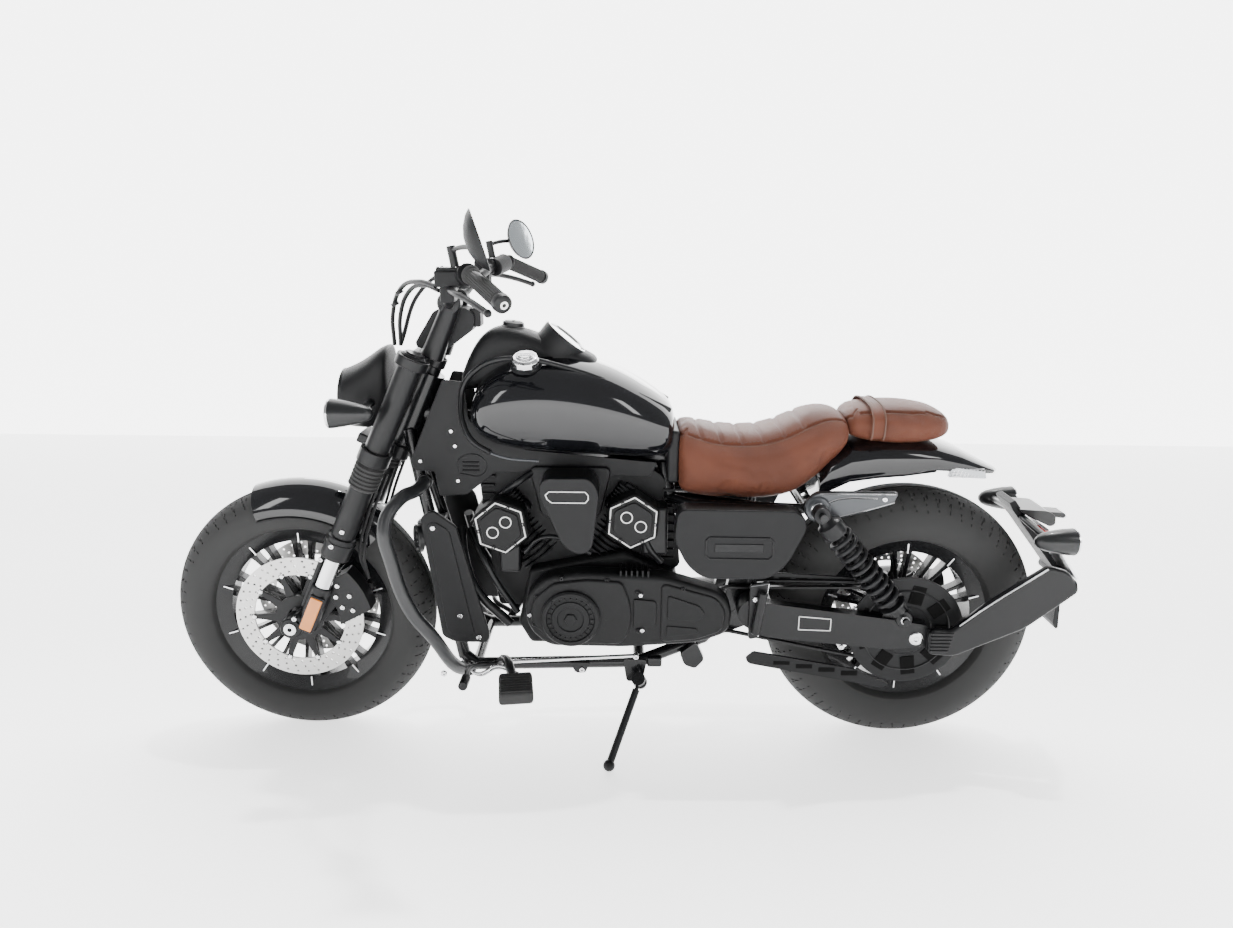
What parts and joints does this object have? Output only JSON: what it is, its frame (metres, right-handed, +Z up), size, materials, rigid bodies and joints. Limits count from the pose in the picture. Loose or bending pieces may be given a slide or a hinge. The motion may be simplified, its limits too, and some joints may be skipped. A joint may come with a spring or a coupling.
{
  "type": "cruiser motorcycle",
  "caption": "Low twin-cylinder cruiser motorcycle with cast wheels, belt drive, leather seats and engine guard, leaning on its side stand.",
  "frame": {"origin": "on the floor under the middle of the leaning bike's box", "axes": "+X towards the front wheel, +Y to the bike's left, +Z up from the floor"},
  "size_m": [2.246, 0.9587, 1.3388],
  "materials": {
    "gloss_black": "deep gloss black paint",
    "matte_black": "fine matte black plastic",
    "satin_black": "satin black powder coat",
    "engine_black": "matte black engine enamel",
    "disc_steel": "ground brake steel",
    "bright_steel": "polished steel",
    "strut_grey": "dark grey satin with bright edges",
    "tyre_rubber": "black tyre rubber",
    "grip_rubber": "ribbed black rubber",
    "belt_rubber": "black toothed belt",
    "tan_leather": "brown leather, sewn",
    "radiator_alloy": "grey core and tanks",
    "lamp_black": "black shell, clear lens",
    "mirror_shell": "black shell around silvered glass"
  },
  "bodies": {
    "chassis": {"frame": "satin_black", "engine_block": "engine_black", "front_cylinder": "engine_black", "rear_cylinder": "engine_black", "air_cleaner": "matte_black", "engine_covers": "engine_black", "radiator": "radiator_alloy", "downtube_covers": "matte_black", "exhaust": "satin_black", "fuel_tank": "gloss_black", "tank_console": "matte_black", "front_seat": "tan_leather", "pillion_seat": "tan_leather", "rear_fender": "gloss_black", "fender_struts": "strut_grey", "side_covers": "matte_black", "swingarm": "satin_black", "shock_absorbers": "satin_black", "belt_guards": "matte_black", "drive_belt": "belt_rubber", "engine_guard": "satin_black", "foot_controls": "satin_black", "plate_bracket": "matte_black", "rear_lights": "lamp_black", "rear_axle": "bright_steel", "rear_caliper": "satin_black"},
    "steering": {"triple_clamps": "satin_black", "fork": "satin_black", "front_axle": "bright_steel", "front_fender": "gloss_black", "front_calipers": "satin_black", "front_lights": "lamp_black", "handlebar": "satin_black", "grips": "grip_rubber", "hand_controls": "matte_black", "mirrors": "mirror_shell", "brake_hoses": "belt_rubber"},
    "front_wheel": {"front_rim": "satin_black", "front_tyre": "tyre_rubber", "front_discs": "disc_steel"},
    "rear_wheel": {"rear_rim": "satin_black", "rear_tyre": "tyre_rubber", "rear_pulley": "engine_black", "rear_disc": "disc_steel"},
    "side_stand": {"side_stand": "satin_black"}
  },
  "joints": [
    {"name": "steering_head", "type": "hinge", "parent": "chassis", "child": "steering", "pos_m": [0.49067, 0.00077, 0.83487], "axis": [-0.4099, 0.1725, 0.8957], "range_deg": [-32, 32]},
    {"name": "front_wheel_spin", "type": "hinge", "parent": "steering", "child": "front_wheel", "pos_m": [0.795, -0.09775, 0.32324], "axis": [0, 0.982, -0.1891], "continuous": true},
    {"name": "rear_wheel_spin", "type": "hinge", "parent": "chassis", "child": "rear_wheel", "pos_m": [-0.716, -0.09608, 0.33194], "axis": [0, 0.982, -0.1891], "continuous": true},
    {"name": "side_stand_fold", "type": "hinge", "parent": "chassis", "child": "side_stand", "pos_m": [-0.057, 0.03524, 0.1783], "axis": [0.2406, 0.7462, 0.6207], "range_deg": [0, 102]}
  ]
}
